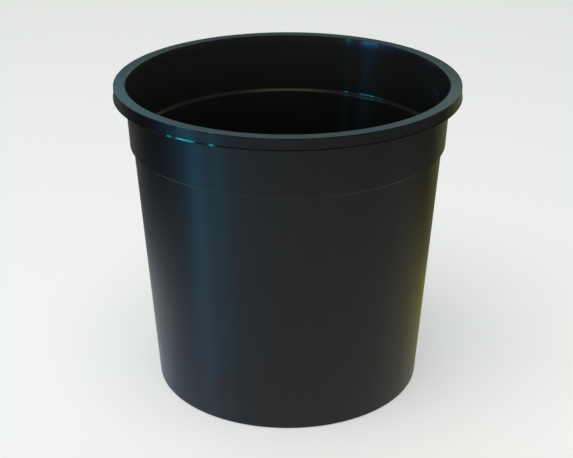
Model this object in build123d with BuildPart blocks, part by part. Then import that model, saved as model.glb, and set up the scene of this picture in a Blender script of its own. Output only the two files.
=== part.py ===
"""A florist bucket: one round injection moulding with a stepped wall and a turned-down rim.

The bucket stands on the ground plane, centred on the Z axis, with its mouth upwards.
It is a single piece of plastic, so the whole of it is one outline turned about Z.
Lengths are in millimetres.
"""

from build123d import *
from math import atan2, cos, degrees, radians, tan
import os

# Overall size
height = 263.0
rim_radius = 142.5  # over the lip at the foot of the rim's skirt, the widest place
foot_radius = 113.1  # of the body's outside where it would meet the ground

# Wall: a slim body with a wider band above it, joined by a sloping step
wall = 1.5
band_wall = 2.0  # the band is thicker, to hold the mouth round
body_taper = 3.95  # degrees off vertical
band_taper = 3.0
band_depth = 50.4  # from the top of the rim down to the step's sharp outer edge
step_width = 2.9  # how far the step goes in towards the axis
step_slope = 37.0  # degrees off level
step_outer_bend = 2.5  # bend from the step into the body, outside
step_inner_bend = 4.0  # and inside
step_edge = 0.2
ledge_rise = 1.2  # the step's inner edge stands this much above its outer one

# Rim: a flat flange with a skirt turned down round it, open underneath
flange = 1.8
skirt = 1.6
rim_depth = 10.1
skirt_radius = 141.9
lip_height = 1.6  # the lip stands proud at the bottom of the skirt
lip_face = 0.5  # its upright part, with a bevel above
mouth_radius = 132.1
mouth_edge = 1.1
mouth_flare_depth = 4.5  # the wall curves out a little more towards the mouth
mouth_inner_bend = 36.0
mouth_outer_bend = 14.0
flange_edge = 0.7
lip_edge = 0.3
small_edge = 0.25
channel_corner = 0.8  # inside corners of the channel under the flange

# Base: a foot ring with the middle of the base raised inside it
base = 2.0
foot_inner_radius = 100.5
base_rise = 3.0
rise_run = 3.5  # the slope from the foot ring up to the raised middle, measured level
foot_edge = 1.6
base_bend = 1.6
floor_corner = 4.0

# Gate: the shallow cup in the middle of the underside where the plastic was injected
gate_cup_radius = 9.0
gate_cup_depth = 0.7
gate_cup_slope = 2.0
gate_stub_radius = 1.4
gate_stub_height = 0.5


def leaned(radius, rise, taper):
    """The radius of a wall that leans out by taper degrees, at rise above radius."""
    return radius + rise * tan(radians(taper))


wall_across = wall / cos(radians(body_taper))  # thicknesses measured level
band_across = band_wall / cos(radians(band_taper))
step_drop = step_width * tan(radians(step_slope))
step_top = height - band_depth
step_bottom = step_top - step_drop
body_top_radius = leaned(foot_radius, step_bottom, body_taper)
band_foot_radius = body_top_radius + step_width
flare_foot = height - mouth_flare_depth
flare_foot_radius = leaned(band_foot_radius, band_depth - mouth_flare_depth, band_taper)
flare_inner_radius = flare_foot_radius - band_across
mouth_lean = degrees(atan2(mouth_radius - flare_inner_radius, mouth_flare_depth))
ledge_top = step_top + ledge_rise
ledge_bottom = ledge_top - step_drop
ledge_outer_radius = leaned(band_foot_radius, ledge_rise, band_taper) - band_across
ledge_inner_radius = leaned(foot_radius, ledge_bottom, body_taper) - wall_across
floor_radius = leaned(foot_radius, base, body_taper) - wall_across
rise_inner_radius = foot_inner_radius - rise_run
rise_shift = base * tan(atan2(base_rise, rise_run) / 2)  # keeps the slope as thick as the base

# The outline's corners, each with the radius it is rounded to, from the middle of the
# underside out to the foot, up the outside, over the rim and back down the inside.
underside = [
    ((0, base_rise + gate_cup_depth - gate_stub_height), 0),
    ((gate_stub_radius, base_rise + gate_cup_depth - gate_stub_height), small_edge / 2),
    ((gate_stub_radius, base_rise + gate_cup_depth), 0),
    ((gate_cup_radius - gate_cup_slope, base_rise + gate_cup_depth), base_bend),
    ((gate_cup_radius, base_rise), base_bend),
    ((rise_inner_radius, base_rise), base_bend),
    ((foot_inner_radius, 0), base_bend),
    ((foot_radius, 0), foot_edge),
]
outside = [
    ((body_top_radius, step_bottom), step_outer_bend),
    ((band_foot_radius, step_top), step_edge),
    ((flare_foot_radius, flare_foot), mouth_outer_bend),
    ((leaned(flare_foot_radius, mouth_flare_depth - flange, mouth_lean), height - flange), channel_corner),
]
rim = [
    ((skirt_radius - skirt, height - flange), channel_corner),
    ((skirt_radius - skirt, height - rim_depth), small_edge),
    ((rim_radius, height - rim_depth), lip_edge),
    ((rim_radius, height - rim_depth + lip_face), small_edge),
    ((skirt_radius, height - rim_depth + lip_height), small_edge),
    ((skirt_radius, height), 0),
    ((mouth_radius, height), 0),
]
inside = [
    ((flare_inner_radius, flare_foot), mouth_inner_bend),
    ((ledge_outer_radius, ledge_top), step_edge),
    ((ledge_inner_radius, ledge_bottom), step_inner_bend),
    ((floor_radius, base), floor_corner),
    ((foot_inner_radius + rise_shift, base), base_bend),
    ((rise_inner_radius + rise_shift, base + base_rise), base_bend),
    ((0, base + base_rise), 0),
]
corners = underside + outside + rim + inside

with BuildPart() as bucket:
    with BuildSketch(Plane.XZ):
        with BuildLine():
            FilletPolyline(
                [point for point, _ in corners],
                radius=[rounding for _, rounding in corners],
                close=True,
            )
        make_face()
    revolve(axis=Axis.Z)
    rim_top_edges = bucket.edges().group_by(Axis.Z)[-1].sort_by(SortBy.RADIUS)
    fillet(rim_top_edges[0], radius=mouth_edge)
    outer_edge = bucket.edges().group_by(Axis.Z)[-1].sort_by(SortBy.RADIUS)[-1]
    fillet(outer_edge, radius=flange_edge)

bucket.part.label = "bucket"

os.makedirs("parts", exist_ok=True)
export_step(bucket.part, "parts/bucket.step")
print(f"body top {body_top_radius:.2f}, band {band_foot_radius:.2f} to {flare_foot_radius:.2f}")
print(f"mouth leans {mouth_lean:.1f} degrees, inside corner {flare_inner_radius:.2f}")
print(f"ledge {ledge_outer_radius:.2f} to {ledge_inner_radius:.2f}, floor {floor_radius:.2f}")
print(f"volume {bucket.part.volume / 1000:.1f} cm3")
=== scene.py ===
"""The look of the florist bucket: one round moulding of black polypropylene, on a pale floor.

The bucket is turned from its section at a much finer step than the CAD mesh, with the small
unevenness that a thin moulding has, and it stands for the CAD node. Lengths are in metres.
"""

import math

import bpy
import numpy as np
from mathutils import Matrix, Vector


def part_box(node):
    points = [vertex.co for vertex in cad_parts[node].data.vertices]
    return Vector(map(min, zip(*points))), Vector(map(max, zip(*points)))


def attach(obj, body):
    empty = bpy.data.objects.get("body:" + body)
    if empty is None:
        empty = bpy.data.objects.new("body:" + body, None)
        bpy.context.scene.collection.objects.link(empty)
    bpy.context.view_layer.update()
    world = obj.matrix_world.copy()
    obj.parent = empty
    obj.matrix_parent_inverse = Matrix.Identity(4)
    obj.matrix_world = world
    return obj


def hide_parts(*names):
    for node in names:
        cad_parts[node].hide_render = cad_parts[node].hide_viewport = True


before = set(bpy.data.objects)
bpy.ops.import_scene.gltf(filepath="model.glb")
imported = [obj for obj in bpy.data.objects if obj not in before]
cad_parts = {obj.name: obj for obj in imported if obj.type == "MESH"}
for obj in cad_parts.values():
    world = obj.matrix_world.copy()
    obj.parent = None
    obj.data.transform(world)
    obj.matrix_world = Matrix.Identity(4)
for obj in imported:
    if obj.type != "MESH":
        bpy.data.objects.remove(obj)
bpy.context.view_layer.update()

# ---------------------------------------------------------------- sizes, as in the CAD model
bucket_low, bucket_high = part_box("bucket")
HEIGHT = bucket_high.z
RIM_RADIUS = bucket_high.x
MM = 0.001

WALL = 1.5 * MM
BAND_WALL = 2.0 * MM
BODY_TAPER = math.radians(3.95)
BAND_TAPER = math.radians(3.0)
FOOT_RADIUS = RIM_RADIUS - 29.4 * MM
BAND_DEPTH = 50.4 * MM
STEP_WIDTH = 2.9 * MM
STEP_SLOPE = math.radians(37.0)
LEDGE_RISE = 1.2 * MM

FLANGE = 1.8 * MM
SKIRT = 1.6 * MM
RIM_DEPTH = 10.1 * MM
SKIRT_RADIUS = RIM_RADIUS - 0.6 * MM
LIP_HEIGHT = 1.6 * MM
LIP_FACE = 0.5 * MM
MOUTH_RADIUS = RIM_RADIUS - 10.4 * MM
MOUTH_FLARE_DEPTH = 4.5 * MM

BASE = 2.0 * MM
FOOT_INNER_RADIUS = RIM_RADIUS - 42.0 * MM
BASE_RISE = 3.0 * MM
RISE_RUN = 3.5 * MM
GATE_CUP_RADIUS = 9.0 * MM
GATE_CUP_DEPTH = 0.7 * MM
GATE_CUP_SLOPE = 2.0 * MM
GATE_STUB_RADIUS = 1.4 * MM
GATE_STUB_HEIGHT = 0.5 * MM

# ---------------------------------------------------------------- studio
# What the bucket's gloss sees of the room, as (azimuth, colour) stops. Azimuth 0 is the front,
# 90 the right and -90 the left. The camera itself sees a plain pale floor and a white backdrop.
NEAR_FLOOR = (
    (-180, (0.60, 0.62, 0.60)), (-110, (0.80, 0.90, 0.98)), (-60, (0.55, 0.68, 0.80)),
    (0, (0.60, 0.61, 0.64)), (70, (0.58, 0.59, 0.50)), (120, (0.72, 0.62, 0.16)),
)
FAR_FLOOR = (
    (-180, (0.44, 0.44, 0.40)), (-130, (0.18, 0.16, 0.15)), (-105, (0.01, 0.01, 0.01)),
    (-74, (0.01, 0.01, 0.01)), (-68, (0.14, 0.26, 0.38)), (-61, (0.28, 0.62, 0.92)),
    (-46, (0.38, 0.85, 1.30)), (-20, (0.53, 0.62, 0.70)), (30, (0.50, 0.53, 0.51)),
    (80, (0.28, 0.31, 0.36)), (115, (0.09, 0.09, 0.05)), (150, (0.36, 0.33, 0.12)),
)
HORIZON = (
    (-180, (0.16, 0.20, 0.19)), (-130, (0.05, 0.05, 0.05)), (-90, (0.01, 0.01, 0.01)),
    (-74, (0.15, 0.40, 0.70)), (-55, (0.20, 0.45, 0.75)), (-40, (0.20, 0.24, 0.26)),
    (0, (0.14, 0.14, 0.14)), (60, (0.03, 0.03, 0.03)), (110, (0.06, 0.07, 0.05)),
    (150, (0.26, 0.30, 0.18)),
)
# The floor as rings of stops, each at its reach from the bucket's axis, blended between rings.
FLOOR_RINGS = ((0.24, NEAR_FLOOR), (0.42, FAR_FLOOR), (0.60, FAR_FLOOR), (1.20, HORIZON))
LOW_WALLS = (
    (-180, (0.02, 0.03, 0.04)), (-140, (0.30, 0.36, 0.36)), (-112, (0.01, 0.01, 0.01)),
    (-98, (0.01, 0.01, 0.02)), (-86, (0.01, 0.07, 0.30)), (-66, (0.10, 0.28, 0.55)),
    (-50, (0.12, 0.24, 0.36)), (-35, (0.08, 0.09, 0.10)), (0, (0.05, 0.05, 0.05)),
    (60, (0.02, 0.02, 0.02)), (112, (0.04, 0.04, 0.03)), (140, (0.36, 0.40, 0.16)),
)
HIGH_WALLS = (
    (-180, (0.30, 0.54, 0.57)), (-174, (0.30, 0.56, 0.62)), (-167, (0.38, 1.00, 1.20)),
    (-155, (0.42, 1.00, 1.25)), (-135, (0.12, 0.15, 0.15)),
    (-112, (0.02, 0.02, 0.02)), (-76, (0.10, 0.11, 0.12)), (0, (0.05, 0.04, 0.04)),
    (60, (0.06, 0.06, 0.06)), (115, (0.08, 0.08, 0.08)), (140, (0.34, 0.37, 0.18)),
    (158, (0.66, 0.90, 0.88)), (167, (0.66, 0.94, 0.93)), (174, (0.32, 0.54, 0.55)),
)
CEILING = (0.14, 0.15, 0.14, 1.0)
LAMP = (1.30, 1.30, 0.75, 1.0)  # straight overhead
WHITE = (1.0, 1.0, 1.0)
WINDOW_HIGH = (0.02, 0.84, 1.0)
WINDOW_LOW = (0.01, 0.16, 1.0)
FLOOR_GLOW = 0.45
FLOOR_GREY = 0.62

# Where the room changes, as the upward part of the direction seen: from and to.
WALL_RISE = (0.27, 0.315)
CEILING_RISE = (0.60, 0.80)
LAMP_RISE = (0.95, 0.98)

# Panels that only the bucket's gloss sees: the window, in panes, about 1.8 m off. Each is
# (name, azimuth, elevation, width, height, colour, power).
WINDOW_DISTANCE = 1.8
WINDOWS = (
    ("window_high", -67.5, 25, 0.38, 0.26, WINDOW_HIGH, 5.6),
    ("window_low", -65, 16.5, 0.44, 0.18, WINDOW_LOW, 3.0),
    ("window_edge", -80, 25, 0.05, 0.26, WINDOW_HIGH, 0.8),
    ("window_beyond", -81, 14, 0.55, 0.16, WINDOW_LOW, 0.35),
    ("window_slit", -49, 26, 0.06, 0.24, WINDOW_HIGH, 1.6),
)
# Panels that light only the bucket's own colour, and don't show in its gloss.
FILL_DISTANCE = 2.0
FILLS = (
    ("fill", 0, 16, 5.0, 0.5, WHITE, 6.2),
    ("fill_left", -75, 14, 1.5, 0.5, WHITE, 2.0),
    ("fill_right", 75, 14, 1.5, 0.5, WHITE, 2.0),
)

# ---------------------------------------------------------------- fineness of the mesh
AROUND = 288
LONGEST_ROW = 5.0 * MM
WORN_EDGE = 0.4 * MM  # how far from a rounded corner its wear reaches
FILLET_STEP = math.radians(11.0)

# ---------------------------------------------------------------- unevenness of the moulding
BROAD_SINK = 0.10 * MM
FINE_SINK = 0.012 * MM
SINK_FADE = 10 * MM  # the sinking fades out over this width inside the foot ring
NICK_DEPTH = 0.07 * MM  # how far the lip is rubbed back at most


# ---------------------------------------------------------------- section
def leaned(radius, rise, taper):
    """The radius of a wall that leans out by taper, at rise above radius."""
    return radius + rise * math.tan(taper)


def section_corners():
    """The section's corners as (radius, height, rounding, wear), anticlockwise from the axis.

    wear says how far a corner is rubbed smooth when buckets are stacked and handled, and is
    below 0 where the mould left it duller than the walls.
    """
    across = WALL / math.cos(BODY_TAPER)
    band_across = BAND_WALL / math.cos(BAND_TAPER)
    drop = STEP_WIDTH * math.tan(STEP_SLOPE)
    step_top = HEIGHT - BAND_DEPTH
    step_bottom = step_top - drop
    body_top = leaned(FOOT_RADIUS, step_bottom, BODY_TAPER)
    band_foot = body_top + STEP_WIDTH
    flare = HEIGHT - MOUTH_FLARE_DEPTH
    flare_radius = leaned(band_foot, BAND_DEPTH - MOUTH_FLARE_DEPTH, BAND_TAPER)
    flare_inner = flare_radius - band_across
    mouth_lean = math.atan2(MOUTH_RADIUS - flare_inner, MOUTH_FLARE_DEPTH)
    flare_top = leaned(flare_radius, MOUTH_FLARE_DEPTH - FLANGE, mouth_lean)
    ledge_top = step_top + LEDGE_RISE
    ledge_outer = leaned(band_foot, LEDGE_RISE, BAND_TAPER) - band_across
    ledge_inner = leaned(FOOT_RADIUS, ledge_top - drop, BODY_TAPER) - across
    floor_radius = leaned(FOOT_RADIUS, BASE, BODY_TAPER) - across
    rise_inner = FOOT_INNER_RADIUS - RISE_RUN
    shift = BASE * math.tan(math.atan2(BASE_RISE, RISE_RUN) / 2)
    stub_face = BASE_RISE + GATE_CUP_DEPTH - GATE_STUB_HEIGHT
    cup_face = BASE_RISE + GATE_CUP_DEPTH
    lip_foot = HEIGHT - RIM_DEPTH
    underside = [
        (0.0, stub_face, 0.0, 0.0),
        (GATE_STUB_RADIUS, stub_face, 0.15 * MM, 0.3),
        (GATE_STUB_RADIUS, cup_face, 0.1 * MM, 0.0),
        (GATE_CUP_RADIUS - GATE_CUP_SLOPE, cup_face, 1.6 * MM, 0.0),
        (GATE_CUP_RADIUS, BASE_RISE, 1.6 * MM, 0.0),
        (rise_inner, BASE_RISE, 1.6 * MM, 0.0),
        (FOOT_INNER_RADIUS, 0.0, 1.6 * MM, 0.0),
        (FOOT_RADIUS, 0.0, 1.6 * MM, 0.1),
    ]
    outside = [
        (body_top, step_bottom, 1.2 * MM, 0.0),
        (band_foot, step_top, 0.15 * MM, 0.15),
        (flare_radius, flare, 14.0 * MM, 0.0),
        (flare_top, HEIGHT - FLANGE, 0.8 * MM, 0.0),
    ]
    rim = [
        (SKIRT_RADIUS - SKIRT, HEIGHT - FLANGE, 0.8 * MM, 0.0),
        (SKIRT_RADIUS - SKIRT, lip_foot, 0.25 * MM, 0.3),
        (RIM_RADIUS, lip_foot, 0.3 * MM, 1.0),
        (RIM_RADIUS, lip_foot + LIP_FACE, 0.25 * MM, 1.0),
        (SKIRT_RADIUS, lip_foot + LIP_HEIGHT, 0.25 * MM, 1.0),
        (SKIRT_RADIUS, HEIGHT - RIM_DEPTH / 2, 0.0, 0.0),
        (SKIRT_RADIUS, HEIGHT, 0.7 * MM, 1.0),
        (MOUTH_RADIUS, HEIGHT, 1.1 * MM, 0.7),
    ]
    inside = [
        (flare_inner, flare, 36.0 * MM, 0.0),
        (ledge_outer, ledge_top, 2.0 * MM, 0.3),
        (ledge_inner, ledge_top - drop, 1.0 * MM, -0.8),
        (floor_radius, BASE, 4.0 * MM, 0.0),
        (FOOT_INNER_RADIUS + shift, BASE, 1.6 * MM, 0.0),
        (rise_inner + shift, BASE + BASE_RISE, 1.6 * MM, 0.0),
        (0.0, BASE + BASE_RISE, 0.0, 0.0),
    ]
    return underside + outside + rim + inside


def rounded_section(corners):
    """Points (radius, height), outward normals and wear along the section, its corners rounded."""
    points, normals, wears = [], [], []

    def add(point, normal, wear):
        points.append(point)
        normals.append(normal)
        wears.append(wear)

    flat = [np.array(c[:2]) for c in corners]
    last = len(corners) - 1
    start = flat[0]
    for i in range(last):
        along = flat[i + 1] - flat[i]
        along = along / np.linalg.norm(along)
        normal = np.array([along[1], -along[0]])
        if i + 1 < last:
            onward = flat[i + 2] - flat[i + 1]
            onward = onward / np.linalg.norm(onward)
            turn = math.atan2(along[0] * onward[1] - along[1] * onward[0], along @ onward)
            rounding, wear = corners[i + 1][2:]
            reach = rounding * math.tan(abs(turn) / 2)
        else:
            turn, rounding, wear, reach = 0.0, 0.0, 0.0, 0.0
        end = flat[i + 1] - along * reach
        length = np.linalg.norm(end - start)
        wear_before = wears[-1] if wears else 0.0
        between = max(0.0, min(wear, wear_before))
        if not points:
            add(start, normal, wear)
        if length > 5 * WORN_EDGE:
            rows = math.ceil(length / LONGEST_ROW)
            for k in range(rows + 1):
                share = WORN_EDGE + (length - 2 * WORN_EDGE) * k / rows
                add(start + along * share, normal, between)
        add(end, normal, wear)
        if abs(turn) < 1e-6:
            start = end
        else:
            steps = max(2, math.ceil(abs(turn) / FILLET_STEP))
            side = math.copysign(1.0, turn)
            centre = end - normal * rounding * side
            for k in range(1, steps + 1):
                angle = turn * k / steps
                cos, sin = math.cos(angle), math.sin(angle)
                turned = np.array([cos * normal[0] - sin * normal[1], sin * normal[0] + cos * normal[1]])
                add(centre + turned * rounding * side, turned, wear)
            start = centre + turned * rounding * side
    return np.array(points), np.array(normals), np.array(wears)


# ---------------------------------------------------------------- mesh
def waves(angle, height, seed, count, longest, tallest):
    """A smooth uneven field over the wall, between about -1 and 1, that closes round the axis."""
    rng = np.random.default_rng(seed)
    total = np.zeros(np.broadcast(angle, height).shape)
    weight = 0.0
    for _ in range(count):
        turns = rng.integers(1, longest + 1)
        rise = rng.uniform(-tallest, tallest)
        share = 1.0 / math.sqrt(turns)
        phase = rng.uniform(0, 2 * math.pi)
        total = total + share * np.cos(turns * angle + rise * height / HEIGHT * 2 * math.pi + phase)
        weight += share * share
    return total / math.sqrt(2 * weight) / 1.5


def unevenness(radius, height, angle):
    """How far the surface moves inward along its normal, as a thin moulding sinks while it cools."""
    upright = np.clip((radius - FOOT_INNER_RADIUS) / SINK_FADE, 0, 1)
    broad = 0.5 + 0.5 * waves(angle, height, 11, 9, 7, 1.2)
    fine = 0.5 + 0.5 * waves(angle, height, 23, 14, 34, 3.0)
    return upright * (BROAD_SINK * np.clip(broad, 0, 1) + FINE_SINK * np.clip(fine, 0, 1))


def lip_nicks(angle):
    """How far the lip at the foot of the rim's skirt is rubbed back round the bucket."""
    rough = 0.5 + 0.5 * waves(angle, 0.0, 41, 24, 90, 0.0)
    return NICK_DEPTH * np.clip(rough, 0, 1)


def turned_mesh(name):
    """The bucket's closed mesh, with its own normals and what its material reads from it."""
    points, normals, wears = rounded_section(section_corners())
    rows = len(points)
    angles = np.arange(AROUND) * 2 * math.pi / AROUND
    radius, height = points[:, :1], points[:, 1:]

    lip = np.clip((radius - SKIRT_RADIUS) / (RIM_RADIUS - SKIRT_RADIUS), 0, 1)
    lip = lip * (height < HEIGHT - RIM_DEPTH + LIP_HEIGHT + 0.1 * MM)

    def sunk(at):
        return unevenness(radius, height, at) + lip * lip_nicks(at)

    around = angles[None, :]
    depth = sunk(around)
    step = np.linalg.norm(np.diff(points, axis=0), axis=1)
    along = np.concatenate([[0.0], np.cumsum(step)])
    slope_along = np.gradient(unevenness(radius, height, around), along, axis=0)
    turn = 1e-3
    slope_round = (sunk(around + turn) - sunk(around - turn)) / (2 * turn)
    slope_round = slope_round / np.maximum(radius, MM)

    cos, sin = np.cos(around), np.sin(around)
    place_radius = radius - depth * normals[:, :1]
    place_height = height - depth * normals[:, 1:]
    corners = np.stack([place_radius * cos, place_radius * sin, place_height * np.ones_like(cos)], -1)
    tangent = np.stack([-normals[:, 1], normals[:, 0]], -1)
    tilt_radius = normals[:, :1] + slope_along * tangent[:, :1]
    tilt_height = normals[:, 1:] + slope_along * tangent[:, 1:]
    facing = np.stack([
        tilt_radius * cos - slope_round * sin,
        tilt_radius * sin + slope_round * cos,
        tilt_height * np.ones_like(cos),
    ], -1)
    facing = facing / np.linalg.norm(facing, axis=-1, keepdims=True)

    ring = corners[1:-1].reshape(-1, 3)
    verts = np.concatenate([ring, corners[:1, 0], corners[-1:, 0]])
    vert_normals = np.concatenate([facing[1:-1].reshape(-1, 3), [[0, 0, -1]], [[0, 0, 1]]])
    verts[-2:, :2] = 0.0
    under_pole, floor_pole = len(verts) - 2, len(verts) - 1
    faces = []
    for k in range(AROUND):
        n = (k + 1) % AROUND
        faces.append((under_pole, n, k))
        top = (rows - 3) * AROUND
        faces.append((floor_pole, top + k, top + n))
        for j in range(rows - 3):
            low, high = j * AROUND, (j + 1) * AROUND
            faces.append((low + k, low + n, high + n, high + k))

    mesh = bpy.data.meshes.new(name)
    mesh.from_pydata(verts.tolist(), [], faces)
    mesh.polygons.foreach_set("use_smooth", [True] * len(mesh.polygons))

    def attribute(label, by_row):
        values = np.concatenate([np.repeat(by_row[1:-1], AROUND), by_row[:1], by_row[-1:]])
        layer = mesh.attributes.new(label, "FLOAT", "POINT")
        layer.data.foreach_set("value", values.astype(np.float32))

    rim_row = int(np.argmax((points[:, 1] > HEIGHT - 1e-6)))
    attribute("along", along)
    attribute("wear", wears)
    attribute("inside", (np.arange(rows) > rim_row).astype(float))
    mesh.normals_split_custom_set_from_vertices(vert_normals.tolist())
    mesh.validate()
    return mesh


# ---------------------------------------------------------------- material
class Nodes:
    """Small helper that adds nodes to a material's tree and joins them."""

    def __init__(self, tree):
        self.tree = tree

    def add(self, kind, inputs=None, **settings):
        node = self.tree.nodes.new(kind)
        for key, value in settings.items():
            setattr(node, key, value)
        for key, value in (inputs or {}).items():
            if isinstance(value, bpy.types.NodeSocket):
                self.tree.links.new(value, node.inputs[key])
            else:
                node.inputs[key].default_value = value
        return node

    def math(self, operation, a, b=0.0):
        return self.add("ShaderNodeMath", {0: a, 1: b}, operation=operation).outputs[0]

    def ramp(self, value, low, high, to_low=0.0, to_high=1.0):
        node = self.add("ShaderNodeMapRange", {
            "Value": value, "From Min": low, "From Max": high, "To Min": to_low, "To Max": to_high,
        })
        return node.outputs[0]

    def noise(self, vector, scale, detail=2.0, roughness=0.5):
        node = self.add("ShaderNodeTexNoise", {
            "Vector": vector, "Scale": scale, "Detail": detail, "Roughness": roughness,
        })
        return node.outputs[0]

    def around(self, x, y, stops):
        """A colour that follows the azimuth of (x, y) through the stops and closes behind."""
        turn = self.math("ARCTAN2", x, self.math("MULTIPLY", y, -1.0))
        node = self.add("ShaderNodeValToRGB", {0: self.ramp(turn, -math.pi, math.pi)})
        closed = stops + ((180, stops[0][1]),)
        elements = node.color_ramp.elements
        while len(elements) < len(closed):
            elements.new(0.5)
        for element, (azimuth, colour) in zip(elements, closed):
            element.position = (azimuth + 180) / 360
            element.color = colour + (1.0,)
        return node.outputs[0]

    def mix(self, share, a, b):
        node = self.add("ShaderNodeMix", data_type="RGBA")
        for socket, value in ((0, share), (6, a), (7, b)):
            if isinstance(value, bpy.types.NodeSocket):
                self.tree.links.new(value, node.inputs[socket])
            else:
                node.inputs[socket].default_value = value
        return node.outputs[2]


NEAREST_AXIS = 0.001  # keeps the division by the radius safe on the axis
INSIDE_POLISH = 0.16  # how much smoother the inside is, as moulded on the core
WORN_POLISH = 0.17  # and a fully worn edge
SMOOTHEST = 0.12
BUMP_STRENGTH = 0.35
BUMP_DEPTH = 0.04 * MM
POLYPROPYLENE_IOR = 1.49


def black_polypropylene():
    """Black polypropylene as moulded: turned tool marks round it, haze, and rubbed edges, with painted
    light that makes the inside lighter.
    """
    material = bpy.data.materials.new("black_polypropylene")
    material.use_nodes = True
    n = Nodes(material.node_tree)
    shader = material.node_tree.nodes["Principled BSDF"]

    place = n.add("ShaderNodeTexCoord").outputs["Object"]
    parts = n.add("ShaderNodeSeparateXYZ", {0: place})
    x, y, _ = parts.outputs
    level = n.add("ShaderNodeCombineXYZ", {0: x, 1: y}).outputs[0]
    radius = n.add("ShaderNodeVectorMath", {0: level}, operation="LENGTH").outputs["Value"]
    radius = n.math("MAXIMUM", radius, NEAREST_AXIS)
    round_x, round_y = n.math("DIVIDE", x, radius), n.math("DIVIDE", y, radius)

    def attribute(label):
        return n.add("ShaderNodeAttribute", attribute_name=label).outputs["Fac"]

    along, wear, inside = attribute("along"), attribute("wear"), attribute("inside")

    def wrapped(turns, per_metre):
        """A place that closes round the axis: turns is its size there, per_metre along the section."""
        return n.add("ShaderNodeCombineXYZ", {
            0: n.math("MULTIPLY", round_x, turns),
            1: n.math("MULTIPLY", round_y, turns),
            2: n.math("MULTIPLY", along, per_metre),
        }).outputs[0]

    tool_marks = n.noise(wrapped(0.35, 900.0), 1.0, 3.0, 0.6)
    rings = n.noise(wrapped(0.30, 260.0), 1.0, 2.0, 0.5)
    draw_marks = n.noise(wrapped(42.0, 5.0), 1.0, 4.0, 0.6)
    haze = n.noise(place, 14.0, 5.0, 0.6)
    specks = n.noise(place, 900.0, 2.0, 0.5)
    grain = n.noise(place, 2600.0, 2.0, 0.5)
    scuffs = n.noise(wrapped(60.0, 60.0), 1.0, 5.0, 0.7)
    rubbed = n.math("MULTIPLY", wear, n.ramp(scuffs, 0.42, 0.72))

    black = (0.0100, 0.0102, 0.0102, 1.0)
    hazed = (0.0135, 0.0137, 0.0137, 1.0)
    # Painted light: the inside walls get a far lighter colour than the outside, lifting them as light
    # falling into the bucket would.
    painted_inside_light = (0.042, 0.042, 0.041, 1.0)
    worn = (0.030, 0.031, 0.031, 1.0)
    dust = (0.035, 0.034, 0.032, 1.0)
    colour = n.mix(n.ramp(haze, 0.35, 0.75), black, hazed)
    # Painted light on the inside: its walls are mixed towards the much lighter colour above.
    colour = n.mix(n.math("MULTIPLY", inside, n.ramp(haze, 0.2, 0.7, 0.8, 1.0)), colour, painted_inside_light)
    colour = n.mix(n.ramp(specks, 0.74, 0.80, 0.0, 0.35), colour, dust)
    colour = n.mix(n.math("MULTIPLY", rubbed, 0.55), colour, worn)
    material.node_tree.links.new(colour, shader.inputs["Base Color"])

    rough = n.ramp(haze, 0.3, 0.75, 0.30, 0.35)
    rough = n.math("ADD", rough, n.ramp(draw_marks, 0.35, 0.75, -0.02, 0.02))
    rough = n.math("SUBTRACT", rough, n.math("MULTIPLY", inside, INSIDE_POLISH))
    rough = n.math("SUBTRACT", rough, n.math("MULTIPLY", wear, WORN_POLISH))
    rough = n.math("MAXIMUM", rough, SMOOTHEST)
    material.node_tree.links.new(rough, shader.inputs["Roughness"])

    height = n.math("ADD", tool_marks, n.math("MULTIPLY", grain, 0.25))
    height = n.math("ADD", height, n.math("MULTIPLY", n.math("MULTIPLY", rings, inside), 0.8))
    bump = n.add("ShaderNodeBump", {
        "Height": height, "Strength": BUMP_STRENGTH, "Distance": BUMP_DEPTH,
    })
    tangent = n.add("ShaderNodeTangent", direction_type="RADIAL", axis="Z")
    material.node_tree.links.new(bump.outputs[0], shader.inputs["Normal"])
    material.node_tree.links.new(tangent.outputs[0], shader.inputs["Tangent"])
    shader.inputs["Anisotropic"].default_value = 1.0
    shader.inputs["Anisotropic Rotation"].default_value = 0.25  # a quarter turn: marks run round
    shader.inputs["IOR"].default_value = POLYPROPYLENE_IOR
    return material


def pale_floor_material():
    """A plain pale floor to the camera, and the rings of coloured stops to the bucket's gloss."""
    material = bpy.data.materials.new("pale_floor")
    material.use_nodes = True
    n = Nodes(material.node_tree)
    shader = material.node_tree.nodes["Principled BSDF"]
    seen = n.add("ShaderNodeLightPath").outputs["Is Camera Ray"]
    place = n.add("ShaderNodeTexCoord").outputs["Object"]
    x, y, _ = n.add("ShaderNodeSeparateXYZ", {0: place}).outputs
    reach = n.add("ShaderNodeVectorMath", {0: place}, operation="LENGTH").outputs["Value"]
    last_reach, first_stops = FLOOR_RINGS[0]
    reflected = n.around(x, y, first_stops)
    for ring, stops in FLOOR_RINGS[1:]:
        reflected = n.mix(n.ramp(reach, last_reach, ring), reflected, n.around(x, y, stops))
        last_reach = ring
    glow = n.mix(seen, reflected, (FLOOR_GLOW, FLOOR_GLOW, FLOOR_GLOW, 1.0))
    colour = n.mix(seen, (0.0, 0.0, 0.0, 1.0), (FLOOR_GREY, FLOOR_GREY, FLOOR_GREY, 1.0))
    material.node_tree.links.new(colour, shader.inputs["Base Color"])
    shader.inputs["Roughness"].default_value = 0.9
    shader.inputs["Specular IOR Level"].default_value = 0.0
    shader.inputs["Emission Strength"].default_value = 1.0
    material.node_tree.links.new(glow, shader.inputs["Emission Color"])
    material.cycles.emission_sampling = "NONE"
    return material


# ---------------------------------------------------------------- pieces
def add_object(name, data):
    thing = bpy.data.objects.new(name, data)
    bpy.context.scene.collection.objects.link(thing)
    return thing


bucket = add_object("bucket_moulding", turned_mesh("bucket_moulding"))
bucket.data.materials.append(black_polypropylene())
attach(bucket, "root")
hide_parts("bucket")

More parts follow.
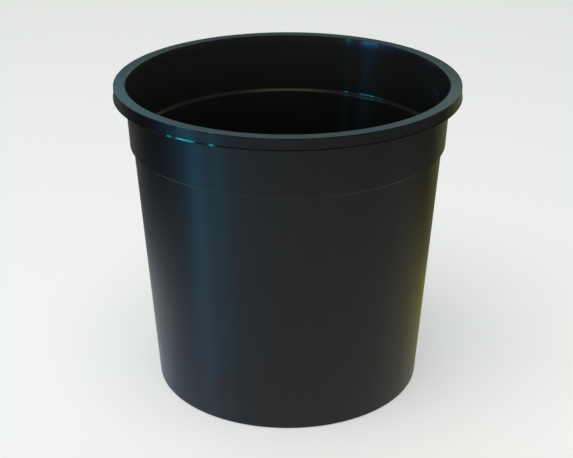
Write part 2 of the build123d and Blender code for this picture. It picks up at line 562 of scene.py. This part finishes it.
FLOOR_SIZE = 30.0
FLOOR_GAP = 0.2 * MM  # below the foot ring, so that the two faces don't coincide
half = FLOOR_SIZE / 2
floor_corners = [(-half, -half, 0), (half, -half, 0), (half, half, 0), (-half, half, 0)]
floor_mesh = bpy.data.meshes.new("floor")
floor_mesh.from_pydata(floor_corners, [], [(0, 1, 2, 3)])
floor = add_object("floor", floor_mesh)
floor.location.z = bucket_low.z - FLOOR_GAP
floor.data.materials.append(pale_floor_material())


# ---------------------------------------------------------------- light
MIDDLE = Vector((0, 0, HEIGHT * 0.6))


def softbox(name, azimuth, elevation, distance, width, tall, colour, power, lit="both"):
    """A soft panel facing the bucket, at an azimuth as in the studio's stops."""
    a, e = math.radians(azimuth), math.radians(elevation)
    out = Vector((math.sin(a) * math.cos(e), -math.cos(a) * math.cos(e), math.sin(e)))
    data = bpy.data.lights.new(name, "AREA")
    data.shape = "RECTANGLE"
    data.size, data.size_y = width, tall
    data.color = colour
    data.energy = power
    light = add_object(name, data)
    light.location = MIDDLE + out * distance
    light.rotation_euler = (-out).to_track_quat("-Z", "Y").to_euler()
    light.visible_camera = False
    light.visible_diffuse = lit != "gloss"
    light.visible_glossy = lit != "diffuse"
    return light


def lit_only(light, thing):
    """Keeps a light to one thing."""
    chosen = bpy.data.collections.new(light.name + "_lights")
    chosen.objects.link(thing)
    light.light_linking.receiver_collection = chosen


for name, azimuth, elevation, width, tall, colour, power in WINDOWS:
    pane = softbox(name, azimuth, elevation, WINDOW_DISTANCE, width, tall, colour, power, "gloss")
    lit_only(pane, bucket)
for name, azimuth, elevation, width, tall, colour, power in FILLS:
    panel = softbox(name, azimuth, elevation, FILL_DISTANCE, width, tall, colour, power, "diffuse")
    lit_only(panel, bucket)
lit_only(softbox("overhead", -30, 70, 2.6, 2.2, 2.2, WHITE, 45), floor)

world = bpy.data.worlds.new("studio")
bpy.context.scene.world = world
world.use_nodes = True
w = Nodes(world.node_tree)
background = world.node_tree.nodes["Background"]
seen = w.add("ShaderNodeLightPath").outputs["Is Camera Ray"]
toward = w.add("ShaderNodeTexCoord").outputs["Generated"]
x, y, z = w.add("ShaderNodeSeparateXYZ", {0: toward}).outputs
room = w.mix(w.ramp(z, *WALL_RISE), w.around(x, y, LOW_WALLS), w.around(x, y, HIGH_WALLS))
room = w.mix(w.ramp(z, *CEILING_RISE), room, CEILING)
room = w.mix(w.ramp(z, *LAMP_RISE), room, LAMP)
sky = w.mix(seen, room, (1.0, 1.0, 1.0, 1.0))
world.node_tree.links.new(sky, background.inputs["Color"])

# ---------------------------------------------------------------- camera
SENSOR = 36.0
LENS = 83.2
VIEW_DISTANCE = 1.038  # level, from the bucket's axis
VIEW_RISE = 0.328  # above the rim
VIEW_PITCH = math.radians(24.0)
VIEW_YAW = math.radians(0.056)

camera_data = bpy.data.cameras.new("camera")
camera_data.sensor_width = SENSOR
camera_data.lens = LENS
camera = add_object("camera", camera_data)
camera.location = (0, -VIEW_DISTANCE, HEIGHT + VIEW_RISE)
camera.rotation_euler = (math.pi / 2 - VIEW_PITCH, 0, VIEW_YAW)
bpy.context.scene.camera = camera
bpy.context.scene.view_settings.view_transform = "Standard"
